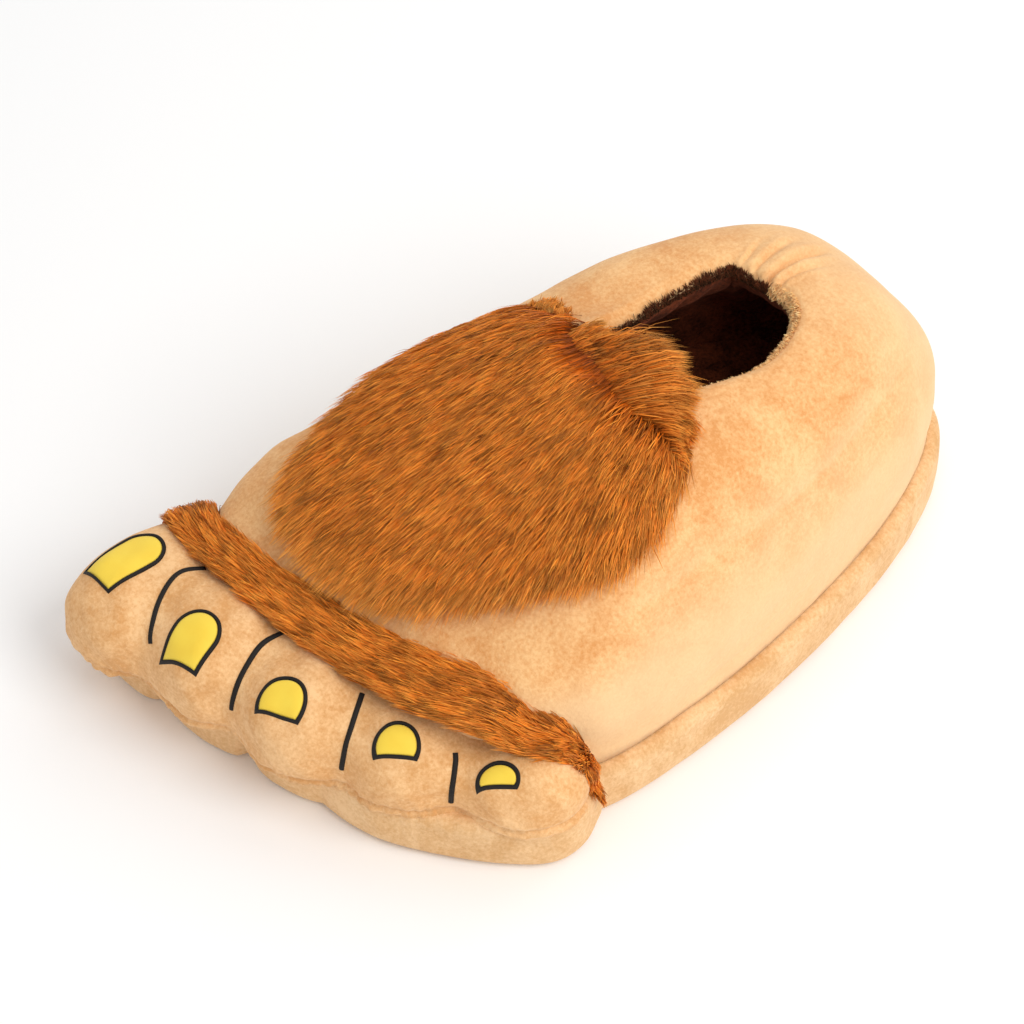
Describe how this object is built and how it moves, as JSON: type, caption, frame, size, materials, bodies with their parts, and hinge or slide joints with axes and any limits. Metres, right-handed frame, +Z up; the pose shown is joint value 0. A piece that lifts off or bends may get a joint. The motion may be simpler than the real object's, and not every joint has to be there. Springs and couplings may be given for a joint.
{
  "type": "novelty slipper",
  "caption": "Plush house slipper shaped as a giant hairy bare left foot, with stuffed toes, yellow nails, long instep fur and a thick soft sole.",
  "frame": {"origin": "on the floor, on the flat bottom of the sole, under the middle of the foot", "axes": "+Z up, +Y towards the heel, -Y towards the toes, -X towards the big toe's side"},
  "size_m": [0.1973, 0.3281, 0.1208],
  "materials": {
    "plush": "short plush, matt",
    "band": "short plush over foam, matt",
    "lining": "brushed pile, matt",
    "fur": "long pile",
    "nail": "short plush, smooth",
    "line": "dense embroidery"
  },
  "bodies": {
    "root": {"sole": "band", "insole": "lining", "upper": "plush", "toes": "plush", "instep_fur": "fur", "knuckle_fur": "fur", "toenail_1": "nail", "toenail_2": "nail", "toenail_3": "nail", "toenail_4": "nail", "toenail_5": "nail", "nail_edging_1": "line", "nail_edging_2": "line", "nail_edging_3": "line", "nail_edging_4": "line", "nail_edging_5": "line", "crease_line_1": "line", "crease_line_2": "line", "crease_line_3": "line", "crease_line_4": "line"}
  },
  "joints": []
}
